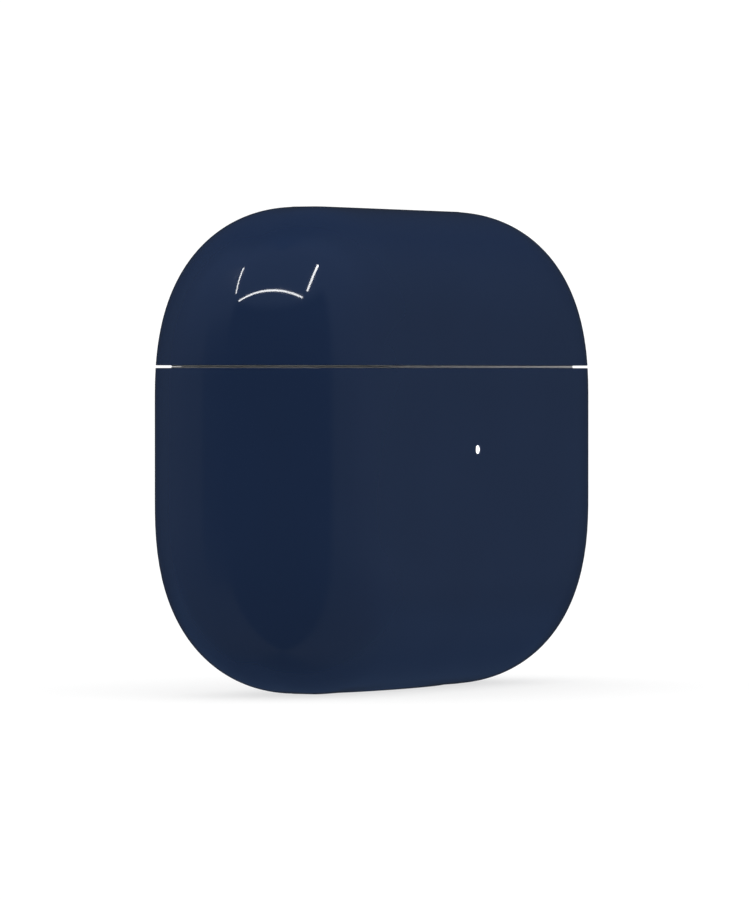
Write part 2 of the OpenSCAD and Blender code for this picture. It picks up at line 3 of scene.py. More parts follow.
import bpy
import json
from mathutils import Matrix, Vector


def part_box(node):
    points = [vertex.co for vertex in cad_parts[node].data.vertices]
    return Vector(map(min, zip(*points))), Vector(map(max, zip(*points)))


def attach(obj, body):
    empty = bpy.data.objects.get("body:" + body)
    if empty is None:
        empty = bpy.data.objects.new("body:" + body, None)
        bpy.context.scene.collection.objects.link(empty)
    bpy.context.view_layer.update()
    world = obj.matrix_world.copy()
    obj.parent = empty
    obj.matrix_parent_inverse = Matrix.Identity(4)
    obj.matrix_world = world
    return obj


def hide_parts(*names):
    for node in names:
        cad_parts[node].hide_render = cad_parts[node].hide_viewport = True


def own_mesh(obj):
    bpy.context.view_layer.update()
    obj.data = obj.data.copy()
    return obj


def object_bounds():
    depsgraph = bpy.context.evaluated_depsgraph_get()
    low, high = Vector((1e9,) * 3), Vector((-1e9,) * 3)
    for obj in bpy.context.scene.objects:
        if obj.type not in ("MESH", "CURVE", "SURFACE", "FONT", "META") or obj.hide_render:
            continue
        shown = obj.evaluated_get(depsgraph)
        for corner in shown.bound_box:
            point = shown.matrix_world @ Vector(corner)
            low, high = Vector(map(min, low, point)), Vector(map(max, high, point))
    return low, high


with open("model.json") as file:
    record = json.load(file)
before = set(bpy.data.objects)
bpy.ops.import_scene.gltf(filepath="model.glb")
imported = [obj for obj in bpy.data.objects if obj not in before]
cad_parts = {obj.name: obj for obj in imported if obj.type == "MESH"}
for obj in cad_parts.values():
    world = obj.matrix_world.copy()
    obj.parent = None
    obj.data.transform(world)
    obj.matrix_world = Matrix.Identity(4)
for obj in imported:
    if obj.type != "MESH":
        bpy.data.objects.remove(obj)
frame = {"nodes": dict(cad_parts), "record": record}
CAD_BOX = [list(corner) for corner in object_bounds()]

import json
import math

import bmesh
import bpy
import numpy as np
from mathutils import Matrix, Vector

MM = 0.001
NODES = frame["nodes"]


def box_mm(node):
    """A CAD node's lowest and highest corners in millimetres."""
    low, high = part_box(node)
    return np.array(low) / MM, np.array(high) / MM


# ---- Sizes in millimetres, from the frame where it has them ----

CASE_LOW = np.array(CAD_BOX[0]) / MM
CASE_HIGH = np.array(CAD_BOX[1]) / MM
HALF_W = (CASE_HIGH[0] - CASE_LOW[0]) / 2
HALF_D = (CASE_HIGH[1] - CASE_LOW[1]) / 2
CASE_H = CASE_HIGH[2]
HALF_H = CASE_H / 2
BODY_RIM = box_mm("body_shell")[1][2]
LID_RIM = box_mm("lid_shell")[0][2]
CRADLE_RIM = box_mm("cradle")[1][2]
LINER_RIM = box_mm("lid_liner")[0][2]
LINER_HIGH = box_mm("lid_liner")[1][2]

# The form of the case: corner size and fullness, depth of the rounded edge, and the flat band round it
CORNER_R = 17.8
CORNER_POW = 2.4
EDGE_W = 10.8
EDGE_FLAT = 1.0
WALL = 1.35
RIM_R = 0.06
INSERT_OFF = WALL + 0.1
INSERT_WALL = 0.9
DECK_T = 1.2

# The hinge's axis, and the sizes of its barrel, groove, slot, pin and knuckles
HINGE = next(j for j in frame["record"]["behaviour"]["joints"] if j["name"] == "lid_hinge")
AXIS_Y, AXIS_Z = (HINGE["pos_m"][1] / MM, HINGE["pos_m"][2] / MM)
BARREL_R = HALF_D - AXIS_Y
BARREL_CLEAR_R = BARREL_R + 0.25
BARREL_HALF = box_mm("hinge_base_bracket")[1][0]
KNUCKLE_HALF = box_mm("hinge_lid_bracket")[1][0]
GROOVE_HALF_ANGLE = 53.5
GROOVE_HALF_W = HALF_W - 3.5
SLOT_HALF_W = BARREL_HALF + 0.4
SLOT_FRONT = 8.35
PIN_R = 0.5
PIN_END_WALL = 0.4
KNUCKLE_SPACE = 0.4

# The brackets: each has a leaf along the back of its insert, and an arm from the leaf to the barrel
LEAF_FRONT, LEAF_T = 8.5, 0.6
LEAF_START = 1.1
LEAF_CORNER_R = 0.8
ARM_NEAR, ARM_FAR = 0.3, 1.3
ARM_INSET = 0.02

# Screws: where they stand (x, z), and their sizes
BASE_SCREW, LID_SCREW = (13, 27.4), (3.4, 34.6)
SCREW_R = 0.45
SCREW_HEAD_R = 0.85
SCREW_TIP = 6.9
SCREW_BLOCK = 1.5
SCREW_BLOCK_FRONT = 6.4
BOARD_SCREWS = [(6.9, 10.5), (6.9, 24)]
BOARD_SCREW_TIP = 3.4
BOARD_BOSS_R = 1.1
BOARD_BOSS_FRONT = 2.8
BOARD_FRONT = 4.8

# The wells for the earbuds, in the cradle and in the lid
HEAD_X, HEAD_R, HEAD_Z, DOME_Z = 17.2, 7.5, 24.5, 34.5
STEM_X, STEM_R, STEM_FLOOR = 9.2, 3.4, 8.5
CUP_OUT_R, DOME_OUT_R, TUBE_OUT_R = 8.6, 8.4, 4.3
TUBE_LOW = STEM_FLOOR - 1
WELL_FILLET = 0.5
FLOOR_FILLET = 0.6
PIN_SPACE, PIN_HOLE_R = 1.2, 0.5

# The rest of the cradle and the liner: skirt, cell rest, magnet seat, and the pads behind the front
# and the hinge
CRADLE_SKIRT_LOW = 25
CRADLE_SLOT_LOW = 24
CELL_REST_X = (STEM_X + STEM_R + 0.4, 13.6)
CELL_REST_HALF = 3
CELL_REST_Z = (8, 15)
MAGNET_HALF_W = 1.5
MAGNET_SEAT_Y = (-6.6, -4.1)
MAGNET_SEAT_Z = (11, 17)
FRONT_PAD_HALF_W = 1.6
FRONT_PAD_Y = (-7.3, -6.5)
FRONT_PAD_LOW = 23.5
LINER_PAD_HALF_W = 5.4
LINER_PAD_FRONT = 5.8
LINER_PAD_MARGIN = 1.6

BUTTON_LOW, BUTTON_HIGH = box_mm("pairing_button")
BUTTON_Z = (BUTTON_LOW[2] + BUTTON_HIGH[2]) / 2
BUTTON_R = 3.9
BUTTON_FACE = BUTTON_HIGH[1]
BUTTON_HOLE_R = BUTTON_R + 0.1
BUTTON_TIP = BUTTON_LOW[1]
LIGHT_LOW, LIGHT_HIGH = box_mm("light_pipe")
LIGHT_Z = (LIGHT_LOW[2] + LIGHT_HIGH[2]) / 2
LIGHT_R = 0.4
TRIM_LOW, TRIM_HIGH = box_mm("port_trim")
PORT_LOW, PORT_HIGH = box_mm("usb_receptacle")
PORT_SHEET = 0.3
LAND_W, LAND_D, LAND_FLARE, LAND_RISE = 25, 5.6, 1.75, 0.72

# How far a cutter reaches past what it cuts
OVER = 1

# ---- Form of the case ----


def outline_x(z, inset, off):
    """Half-width of the front outline at height z from the middle, for edge insets and a wall offset."""
    r = CORNER_R - off - inset
    u = np.maximum((z - HALF_H + CORNER_R) / r, 0)
    round_part = np.maximum(1 - u**CORNER_POW, 0) ** (1 / CORNER_POW)
    return HALF_W - CORNER_R + r * round_part


def quarter(z, off, steps):
    """One quarter of the horizontal section at height z from the middle, from the side to the flat face."""
    w = EDGE_W - off
    bulge = HALF_D - off - EDGE_FLAT
    depth = max(HALF_H - off - abs(z), 0.02)
    reach = math.pi / 2 if depth >= w else math.acos(1 - depth / w)
    crowd = 1 - min(1, depth / w)
    u = np.linspace(0, 1, steps + 1)
    a = reach * ((1 - crowd) * u + crowd * np.sin(u * math.pi / 2))
    x = outline_x(HALF_H - off - depth, w * (1 - np.cos(a)), off)
    return np.column_stack((x, EDGE_FLAT + bulge * np.sin(a)))


def ring(z, off, steps):
    """A whole horizontal section at height z above the base."""
    q = quarter(z - HALF_H, off, steps)
    back = q[::-1]
    plan = np.vstack((q, back * (-1, 1), -q, back * (1, -1)))
    return np.column_stack((plan, np.full(len(plan), z)))


def pole_depths(off, steps):
    """Depths below an end of the case at which its curved part takes a ring."""
    return (EDGE_W - off) * (1 - np.cos(np.linspace(0, math.pi / 2, steps + 1)))


def heights_to(rim, off, pole, straight, top):
    """Ring heights from an end of the case to a rim."""
    start = CASE_H - EDGE_W if top else EDGE_W
    curved = CASE_H - off - pole_depths(off, pole) if top else off + pole_depths(off, pole)
    return np.concatenate((curved, np.linspace(start, rim, straight + 1)[1:]))


# ---- Mesh tools ----


def to_object(name, bm):
    """A mesh object in metres from a bmesh in millimetres."""
    bmesh.ops.transform(bm, matrix=Matrix.Scale(MM, 4), verts=bm.verts)
    mesh = bpy.data.meshes.new(name)
    bm.to_mesh(mesh)
    bm.free()
    obj = bpy.data.objects.new(name, mesh)
    bpy.context.scene.collection.objects.link(obj)
    return obj


def loft(rings, closed=False):
    """A bmesh through rings that have the same number of points, capped or joined from last to first."""
    bm = bmesh.new()
    rows = [[bm.verts.new(p) for p in r] for r in rings]
    n = len(rows[0])
    if closed:
        rows.append(rows[0])
    else:
        bm.faces.new(rows[0])
        bm.faces.new(rows[-1])
    for low, high in zip(rows, rows[1:]):
        for i in range(n):
            k = (i + 1) % n
            bm.faces.new((low[i], low[k], high[k], high[i]))
    bmesh.ops.recalc_face_normals(bm, faces=bm.faces)
    return bm


def revolved(profile, centre, axis="Z", segments=96):
    """A bmesh made by turning (radius, height) points about an axis through centre.

    The profile starts and ends on the axis, or ends where it starts."""
    angles = np.linspace(0, 2 * math.pi, segments, endpoint=False)
    turn = {
        "Z": Matrix.Identity(3),
        "Y": Matrix(((1, 0, 0), (0, 0, 1), (0, -1, 0))),
        "X": Matrix(((0, 0, 1), (0, 1, 0), (-1, 0, 0))),
    }[axis]
    bm = bmesh.new()
    rows = []
    for r, h in profile:
        points = [turn @ Vector((r * math.cos(a), r * math.sin(a), h)) + Vector(centre) for a in angles]
        rows.append([bm.verts.new(points[0])] if r == 0 else [bm.verts.new(p) for p in points])
    if profile[0] == profile[-1]:
        for vert in rows.pop():
            bm.verts.remove(vert)
        rows.append(rows[0])
    for low, high in zip(rows, rows[1:]):
        for i in range(segments):
            k = (i + 1) % segments
            corners = (low[i % len(low)], low[k % len(low)], high[k % len(high)], high[i % len(high)])
            bm.faces.new(list(dict.fromkeys(corners)))
    bmesh.ops.recalc_face_normals(bm, faces=bm.faces)
    return bm


def prism(points, axis, low, high):
    """A closed bmesh from a polygon. Along X its points are (y, z), along Y (x, z), along Z (x, y)."""
    corner = {
        "X": lambda p, t: (t, p[0], p[1]),
        "Y": lambda p, t: (p[0], t, p[1]),
        "Z": lambda p, t: (p[0], p[1], t),
    }[axis]
    bm = bmesh.new()
    ends = [[bm.verts.new(corner(p, t)) for p in points] for t in (low, high)]
    bm.faces.new(ends[0])
    bm.faces.new(ends[1])
    n = len(points)
    for i in range(n):
        k = (i + 1) % n
        bm.faces.new((ends[0][i], ends[0][k], ends[1][k], ends[1][i]))
    bmesh.ops.recalc_face_normals(bm, faces=bm.faces)
    return bm


def slot_points(w, d, steps=24):
    """The outline of a slot w long and d wide, its ends half circles."""
    angles = np.linspace(-math.pi / 2, math.pi / 2, steps + 1)
    end = [((w - d) / 2 + d / 2 * math.cos(a), d / 2 * math.sin(a)) for a in angles]
    return end + [(-x, -y) for x, y in end]


def rounded_points(low, high, r, steps=6):
    """The outline of a rectangle between two corners, with corners of radius r."""
    centres = [(high[0] - r, high[1] - r), (low[0] + r, high[1] - r), (low[0] + r, low[1] + r),
               (high[0] - r, low[1] + r)]
    return [(x + r * math.cos(a), y + r * math.sin(a))
            for q, (x, y) in enumerate(centres)
            for a in np.linspace(q * math.pi / 2, (q + 1) * math.pi / 2, steps + 1)]


def arc(centre, r, start_deg, end_deg, steps=6):
    """Points (radius, height) along an arc."""
    turns = np.radians(np.linspace(start_deg, end_deg, steps + 1))
    return [(centre[0] + r * math.cos(a), centre[1] + r * math.sin(a)) for a in turns]


def mirrored(make):
    """What make gives at the right and at the left."""
    return [part for side in (1, -1) for part in make(side)]


def block(low, high):
    """A closed box between two corners."""
    corners = [(low[0], low[1]), (high[0], low[1]), (high[0], high[1]), (low[0], high[1])]
    return prism(corners, "Z", low[2], high[2])


def combine(obj, parts, operation):
    """Adds closed bmeshes to an object, or cuts them from it, one after the other."""
    for bm in parts:
        tool = to_object("tool", bm)
        modifier = obj.modifiers.new("combine", "BOOLEAN")
        modifier.operation = operation
        modifier.solver = "EXACT"
        modifier.object = tool
        applied = bpy.data.meshes.new_from_object(obj.evaluated_get(bpy.context.evaluated_depsgraph_get()))
        obj.modifiers.clear()
        old = obj.data
        obj.data = applied
        bpy.data.meshes.remove(old)
        bpy.data.objects.remove(tool, do_unlink=True)
    return obj


def smooth(obj, sharp_deg=32):
    """Shades an object smooth, with edges sharper than an angle left crisp."""
    bm = bmesh.new()
    bm.from_mesh(obj.data)
    bmesh.ops.remove_doubles(bm, verts=bm.verts, dist=1e-7)
    bmesh.ops.dissolve_degenerate(bm, edges=bm.edges, dist=1e-7)
    for face in bm.faces:
        face.smooth = True
    for edge in bm.edges:
        edge.smooth = len(edge.link_faces) == 2 and edge.calc_face_angle() < math.radians(sharp_deg)
    bm.to_mesh(obj.data)
    bm.free()
    return obj


# ---- Materials ----


# The part of a noise texture's range that its values mostly fill
NOISE_LOW, NOISE_HIGH = 0.3, 0.7


class Shader:
    """A node material with short names for the nodes that the finishes share."""

    def __init__(self, name):
        self.material = bpy.data.materials.new(name)
        self.material.use_nodes = True
        self.tree = self.material.node_tree
        self.surface = self.tree.nodes["Principled BSDF"]
        self.coords = self.tree.nodes.new("ShaderNodeTexCoord").outputs["Object"]

    def set(self, **values):
        """Sets the shader's own sockets, whose names are given with _ for each space."""
        for key, value in values.items():
            self.surface.inputs[key.replace("_", " ")].default_value = value

    def noise(self, scale, detail=2.0, stretch=None):
        """Noise in object space; scale is in features per metre."""
        node = self.tree.nodes.new("ShaderNodeTexNoise")
        node.inputs["Scale"].default_value = scale
        node.inputs["Detail"].default_value = detail
        source = self.coords
        if stretch:
            mapping = self.tree.nodes.new("ShaderNodeMapping")
            mapping.inputs["Scale"].default_value = stretch
            self.tree.links.new(source, mapping.inputs["Vector"])
            source = mapping.outputs["Vector"]
        self.tree.links.new(source, node.inputs["Vector"])
        return node.outputs["Fac"]

    def spread(self, source, low, high):
        """A noise value stretched over low to high."""
        node = self.tree.nodes.new("ShaderNodeMapRange")
        ends = {"From Min": NOISE_LOW, "From Max": NOISE_HIGH, "To Min": low, "To Max": high}
        for name, number in ends.items():
            node.inputs[name].default_value = number
        self.tree.links.new(source, node.inputs["Value"])
        return node.outputs["Result"]

    def colour(self, source, dark, light):
        """The base colour as a ramp between two colours."""
        ramp = self.tree.nodes.new("ShaderNodeValToRGB")
        for element, position, level in zip(ramp.color_ramp.elements, (NOISE_LOW, NOISE_HIGH), (dark, light)):
            element.position = position
            element.color = (*level, 1)
        self.tree.links.new(source, ramp.inputs["Fac"])
        self.tree.links.new(ramp.outputs["Color"], self.surface.inputs["Base Color"])

    def roughness(self, source, low, high):
        """The roughness, between low and high."""
        self.tree.links.new(self.spread(source, low, high), self.surface.inputs["Roughness"])

    def bump(self, source, depth, strength=1.0):
        """A bump whose full height is depth metres."""
        node = self.tree.nodes.new("ShaderNodeBump")
        node.inputs["Distance"].default_value = depth
        node.inputs["Strength"].default_value = strength
        self.tree.links.new(source, node.inputs["Height"])
        self.tree.links.new(node.outputs["Normal"], self.surface.inputs["Normal"])


def scaled(colour, k):
    """A colour with each channel times k."""
    return tuple(c * k for c in colour)


def navy_lacquer():
    """Glossy navy lacquer with a very faint ripple."""
    s = Shader("navy_lacquer")
    base = (0.0109, 0.0223, 0.0578)
    s.set(IOR=1.45)
    s.colour(s.noise(90), scaled(base, 0.97), scaled(base, 1.03))
    s.roughness(s.noise(400, 4), 0.035, 0.06)
    s.bump(s.noise(1500, 3), 2e-7)
    return s.material


def ivory_plastic():
    """Satin off-white moulding."""
    s = Shader("ivory_plastic")
    base = (0.84, 0.845, 0.83)
    s.set(IOR=1.46)
    s.colour(s.noise(60), scaled(base, 0.97), base)
    s.roughness(s.noise(500, 4), 0.16, 0.26)
    s.bump(s.noise(9000, 2), 2e-6, 0.4)
    return s.material


def satin_steel():
    """Steel brushed along X."""
    s = Shader("satin_steel")
    base = (0.7, 0.71, 0.73)
    brush = s.noise(900, 3, stretch=(0.06, 1, 1))
    s.set(Metallic=0.6)
    s.colour(brush, scaled(base, 0.85), base)
    s.roughness(brush, 0.2, 0.36)
    s.bump(brush, 2e-6, 0.5)
    return s.material


def plain_metal(name, base, rough_low, rough_high):
    """A plated or drawn metal."""
    s = Shader(name)
    s.set(Metallic=1.0)
    s.colour(s.noise(300), scaled(base, 0.85), base)
    s.roughness(s.noise(700, 3), rough_low, rough_high)
    s.bump(s.noise(4000, 2), 1e-6, 0.4)
    return s.material


def moulded(name, base, rough_low, rough_high, grain=6000):
    """A moulded or coated surface with a fine grain."""
    s = Shader(name)
    s.colour(s.noise(250), scaled(base, 0.85), scaled(base, 1.1))
    s.roughness(s.noise(900, 3), rough_low, rough_high)
    s.bump(s.noise(grain, 2), 4e-6, 0.5)
    return s.material


def light_diffuser():
    """The status light's white diffuser, lit."""
    s = Shader("light_diffuser")
    s.set(Emission_Color=(1, 1, 1, 1), Emission_Strength=1.6)
    s.colour(s.noise(2000), (0.88, 0.88, 0.88), (0.95, 0.95, 0.95))
    s.roughness(s.noise(3000), 0.2, 0.3)
    return s.material


def make_finishes():
    """One material for each of the record's material slots."""
    return {
        "navy_gloss": navy_lacquer(),
        "ivory_gloss": ivory_plastic(),
        "satin_steel": satin_steel(),
        "bronze": plain_metal("spring_bronze", (0.55, 0.36, 0.16), 0.25, 0.4),
        "gold": plain_metal("contact_gold", (0.9, 0.66, 0.28), 0.18, 0.28),
        "copper": plain_metal("copper_wire", (0.65, 0.28, 0.14), 0.3, 0.45),
        "seal_rubber": moulded("seal_rubber", (0.018, 0.018, 0.02), 0.6, 0.75),
        "black_plastic": moulded("black_plastic", (0.02, 0.02, 0.022), 0.45, 0.6),
        "light_white": light_diffuser(),
        "board_green": moulded("board_green", (0.012, 0.085, 0.045), 0.3, 0.42, 2500),
        "amber_film": moulded("amber_film", (0.42, 0.16, 0.02), 0.2, 0.32, 3000),
        "cell_wrap": moulded("cell_wrap", (0.2, 0.2, 0.21), 0.4, 0.55, 1500),
        "magnet_plate": plain_metal("magnet_plate", (0.5, 0.5, 0.52), 0.2, 0.32),
    }


def finish_nodes(finishes):
    """Gives every CAD node its slot's material."""
    slots = {part["node"]: part["material_slot"] for part in frame["record"]["subparts"]}
    for name, obj in NODES.items():
        obj.data.materials.clear()
        obj.data.materials.append(finishes[slots[name]])


def place(obj, node, body, slot, finishes):
    """Makes a piece stand for a CAD node, on its body and with its slot's finish."""
    obj.data.materials.clear()
    obj.data.materials.append(finishes[slot])
    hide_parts(node)
    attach(obj, body)
    return obj


# ---- Shells ----

SHELL_STEPS = 44
INSERT_STEPS = 32


def rim_rings(rim, steps, up, off=0):
    """The rounded outer corner of a rim, from the outer wall in."""
    sign = 1 if up else -1
    rings = []
    for a in np.linspace(0, math.pi / 2, 6):
        z = rim - sign * RIM_R * (1 - math.sin(a))
        rings.append(ring(z, off + RIM_R * (1 - math.cos(a)), steps))
    return rings


def hinge_relief():
    """The wedge and the barrel's clearance that are cut along the back of both shells."""
    depth = HALF_D - AXIS_Y + OVER
    rise = depth * math.tan(math.radians(GROOVE_HALF_ANGLE))
    wedge = [(AXIS_Y, AXIS_Z), (AXIS_Y + depth, AXIS_Z - rise), (AXIS_Y + depth, AXIS_Z + rise)]
    return [prism(wedge, "X", -GROOVE_HALF_W, GROOVE_HALF_W), barrel_space()]


def barrel_space():
    """The clearance round the hinge's barrel."""
    r = BARREL_CLEAR_R
    profile = [(0, -SLOT_HALF_W), (r, -SLOT_HALF_W), (r, SLOT_HALF_W), (0, SLOT_HALF_W)]
    return revolved(profile, (0, AXIS_Y, AXIS_Z), "X", 72)


def shell_rings(rim, top):
    """Rings over the outside, round the rim and back over the inside, all with the same number of points."""
    edge = rim + RIM_R if top else rim - RIM_R
    outside = [ring(z, 0, SHELL_STEPS) for z in heights_to(edge, 0, 40, 6 if top else 16, top)]
    inside = [ring(z, WALL, SHELL_STEPS) for z in heights_to(rim, WALL, 14, 2 if top else 4, top)]
    return outside + rim_rings(rim, SHELL_STEPS, not top)[1:] + inside[::-1]


def base_land():
    """The flat oval land on the base, widening upwards into the shell's curved surface."""
    turns = np.linspace(0, 2 * math.pi, 128, endpoint=False)
    straight = 0.7
    rings = []
    for k in np.linspace(0, 1, 4):
        half_x, half_y = LAND_W / 2 + k * LAND_FLARE, LAND_D / 2 + k * LAND_FLARE
        z = LAND_RISE * (straight * k + (1 - straight) * k * k)
        rings.append([(half_x * math.cos(a), half_y * math.sin(a), z) for a in turns])
    return loft(rings)


def make_body_shell():
    """The body's casing, with its land, and its holes for the port, the button and the light."""
    obj = to_object("body_casing", loft(shell_rings(BODY_RIM, False)))
    combine(obj, [base_land()], "UNION")
    flare = 0.12
    inner, outer = HALF_D - WALL - OVER, HALF_D + OVER
    button_hole = [(0, inner), (BUTTON_HOLE_R, inner), (BUTTON_HOLE_R, HALF_D - flare),
                   (BUTTON_HOLE_R + flare, HALF_D), (BUTTON_HOLE_R + flare, outer), (0, outer)]
    light_hole_r = LIGHT_R + 0.05
    light_hole = [(0, -outer), (light_hole_r, -outer), (light_hole_r, WALL + OVER - HALF_D),
                  (0, WALL + OVER - HALF_D)]
    trim_w, trim_d = TRIM_HIGH[0] - TRIM_LOW[0], TRIM_HIGH[1] - TRIM_LOW[1]
    cuts = [
        prism(slot_points(trim_w, trim_d), "Z", -OVER, WALL + OVER),
        *hinge_relief(),
        revolved(button_hole, (0, 0, BUTTON_Z), "Y"),
        revolved(light_hole, (0, 0, LIGHT_Z), "Y", 48),
    ]
    return smooth(combine(obj, cuts, "DIFFERENCE"))


def make_lid_shell():
    """The lid's casing, open below and grooved along the back like the body's."""
    obj = to_object("lid_casing", loft(shell_rings(LID_RIM, True)))
    return smooth(combine(obj, hinge_relief(), "DIFFERENCE"))


# ---- Inserts ----


def insert_form(name, rim, skirt, deck, up):
    """A deck just inside a rim, with a skirt along the shell's wall."""
    sign = 1 if up else -1
    wall = [ring(z, INSERT_OFF, INSERT_STEPS) for z in np.linspace(skirt, rim - sign * RIM_R, 5)]
    obj = to_object(name, loft(wall + rim_rings(rim, INSERT_STEPS, up, INSERT_OFF)[1:]))
    levels = np.linspace(skirt - sign * OVER, deck, 4)
    hollow = [ring(z, INSERT_OFF + INSERT_WALL, INSERT_STEPS) for z in levels]
    return combine(obj, [loft(hollow)], "DIFFERENCE")


def cup(r, centre_z, rim, x):
    """A solid with a round end, up or down to just inside a rim."""
    sign = 1 if rim > centre_z else -1
    end = rim - sign * DECK_T / 2
    profile = arc((0, centre_z), r, -90 * sign, 0, 16)
    profile[0] = (0, centre_z - sign * r)
    return revolved(profile + [(r, end), (0, end)], (x, 0, 0))


def well(r, floor, rim, x):
    """The space of a well: its floor's profile, its wall, and its rounded mouth."""
    sign = 1 if rim > floor[0][1] else -1
    mouth = arc((r + WELL_FILLET, rim - sign * WELL_FILLET), WELL_FILLET, 180, 180 - 90 * sign, 8)
    over = rim + sign * OVER
    return revolved(floor + mouth + [(r + WELL_FILLET, over), (0, over)], (x, 0, 0))


def round_floor(r, centre_z, sign):
    """Profile of a round floor, below its centre if sign is 1 and above it if -1."""
    points = arc((0, centre_z), r, -90 * sign, 0, 24)
    return [(0, centre_z - sign * r)] + points[1:]


def flat_floor(r, z):
    """Profile of a flat floor with a filleted corner."""
    return [(0, z)] + arc((r - FLOOR_FILLET, z + FLOOR_FILLET), FLOOR_FILLET, -90, 0)


def pillar(x, z, y0, y1, r):
    """A round bar along Y."""
    return revolved([(0, y0), (r, y0), (r, y1), (0, y1)], (x, 0, z), "Y", 40)


def hinge_slot(low, high, leaf_low, leaf_high):
    """The space at the back of an insert for the hinge's leaves and knuckles."""
    leaf_half_w = SLOT_HALF_W + 0.02
    return [
        block((-SLOT_HALF_W, SLOT_FRONT, low), (SLOT_HALF_W, HALF_D, high)),
        block((-leaf_half_w, LEAF_FRONT, leaf_low), (leaf_half_w, HALF_D + OVER, leaf_high)),
        barrel_space(),
    ]


def side_block(side, xs, ys, zs):
    """A box between two x, two y and two z values, at the right or mirrored to the left."""
    x0, x1 = sorted((side * xs[0], side * xs[1]))
    return block((x0, ys[0], zs[0]), (x1, ys[1], zs[1]))


def cradle_parts(side):
    """What one side of the cradle adds under its deck: cup, stem tube, bosses, screw block and cell rest."""
    tube_high = CRADLE_RIM - DECK_T / 2
    tube = [(0, TUBE_LOW), (TUBE_OUT_R, TUBE_LOW), (TUBE_OUT_R, tube_high), (0, tube_high)]
    screw_x, screw_z = BASE_SCREW
    block_xs = (screw_x - SCREW_BLOCK, screw_x + SCREW_BLOCK)
    block_zs = (screw_z - SCREW_BLOCK, CRADLE_RIM - DECK_T + 0.1)
    return [
        cup(CUP_OUT_R, HEAD_Z, CRADLE_RIM, side * HEAD_X),
        revolved(tube, (side * STEM_X, 0, 0)),
        *[pillar(side * x, z, BOARD_BOSS_FRONT, BOARD_FRONT, BOARD_BOSS_R) for x, z in BOARD_SCREWS],
        side_block(side, block_xs, (SCREW_BLOCK_FRONT, LEAF_FRONT), block_zs),
        side_block(side, CELL_REST_X, (-CELL_REST_HALF, CELL_REST_HALF), CELL_REST_Z),
    ]


def cradle_cuts(side):
    """What one side of the cradle loses: its two wells, and the holes for pins, screws and magnet."""
    screw_x, screw_z = BASE_SCREW
    low, high = STEM_FLOOR - 2, STEM_FLOOR + OVER
    pin_hole = [(0, low), (PIN_HOLE_R, low), (PIN_HOLE_R, high), (0, high)]
    past_board = BOARD_FRONT + 1.2
    magnet_xs = (STEM_X - MAGNET_HALF_W, STEM_X + MAGNET_HALF_W)
    return [
        well(HEAD_R, round_floor(HEAD_R, HEAD_Z, 1), CRADLE_RIM, side * HEAD_X),
        well(STEM_R, flat_floor(STEM_R, STEM_FLOOR), CRADLE_RIM, side * STEM_X),
        *[revolved(pin_hole, (side * STEM_X + dx, 0, 0), "Z", 32) for dx in (-PIN_SPACE, PIN_SPACE)],
        *[pillar(side * x, z, BOARD_SCREW_TIP, past_board, SCREW_R) for x, z in BOARD_SCREWS],
        pillar(side * screw_x, screw_z, SCREW_TIP, HALF_D, SCREW_R),
        side_block(side, magnet_xs, MAGNET_SEAT_Y, MAGNET_SEAT_Z),
    ]


def make_cradle():
    """The body's inner tray: deck, skirt, the wells for both earbuds, and what holds the parts below."""
    under_deck = CRADLE_RIM - DECK_T
    obj = insert_form("cradle_insert", CRADLE_RIM, CRADLE_SKIRT_LOW, under_deck, True)
    combine(obj, mirrored(cradle_parts), "UNION")
    front_pad = block((-FRONT_PAD_HALF_W, FRONT_PAD_Y[0], FRONT_PAD_LOW),
                      (FRONT_PAD_HALF_W, FRONT_PAD_Y[1], under_deck + 0.1))
    combine(obj, [front_pad], "UNION")
    slot_low, slot_high = BASE_SCREW[1] + SCREW_BLOCK, CRADLE_RIM + OVER
    cuts = hinge_slot(slot_low, slot_high, CRADLE_SLOT_LOW, slot_high) + mirrored(cradle_cuts)
    return smooth(combine(obj, cuts, "DIFFERENCE"))


def make_lid_liner():
    """The lid's inner tray: deck, skirt, a dome over each earbud, and the pad for the hinge's screws."""
    deck = LINER_RIM + DECK_T
    screw_x, screw_z = LID_SCREW
    obj = insert_form("lid_liner_insert", LINER_RIM, LINER_HIGH, deck, False)
    combine(obj, [cup(DOME_OUT_R, DOME_Z, LINER_RIM, side * HEAD_X) for side in (1, -1)], "UNION")
    pad = block((-LINER_PAD_HALF_W, LINER_PAD_FRONT, deck - 0.1),
                (LINER_PAD_HALF_W, LEAF_FRONT + 0.01, screw_z + LINER_PAD_MARGIN))
    combine(obj, [pad], "UNION")
    slot_low, slot_high = LINER_RIM - OVER, LINER_HIGH + OVER
    cuts = hinge_slot(slot_low, AXIS_Z + LINER_PAD_MARGIN, slot_low, slot_high)
    for side in (1, -1):
        cuts.append(well(HEAD_R, round_floor(HEAD_R, DOME_Z, -1), LINER_RIM, side * HEAD_X))
        cuts.append(pillar(side * screw_x, screw_z, SCREW_TIP, HALF_D, SCREW_R))
    return smooth(combine(obj, cuts, "DIFFERENCE"))


# ---- Hinge ----


def screw_seat(x, z):
    """The countersunk hole of a bracket screw."""
    face = LEAF_FRONT + LEAF_T
    cone_high, cone_low = face - 0.02, face - 0.4
    profile = [(0, face + OVER), (SCREW_HEAD_R, face + OVER), (SCREW_HEAD_R, cone_high), (SCREW_R, cone_low),
               (SCREW_R, face - OVER), (0, face - OVER)]
    return revolved(profile, (x, 0, z), "Y", 32)


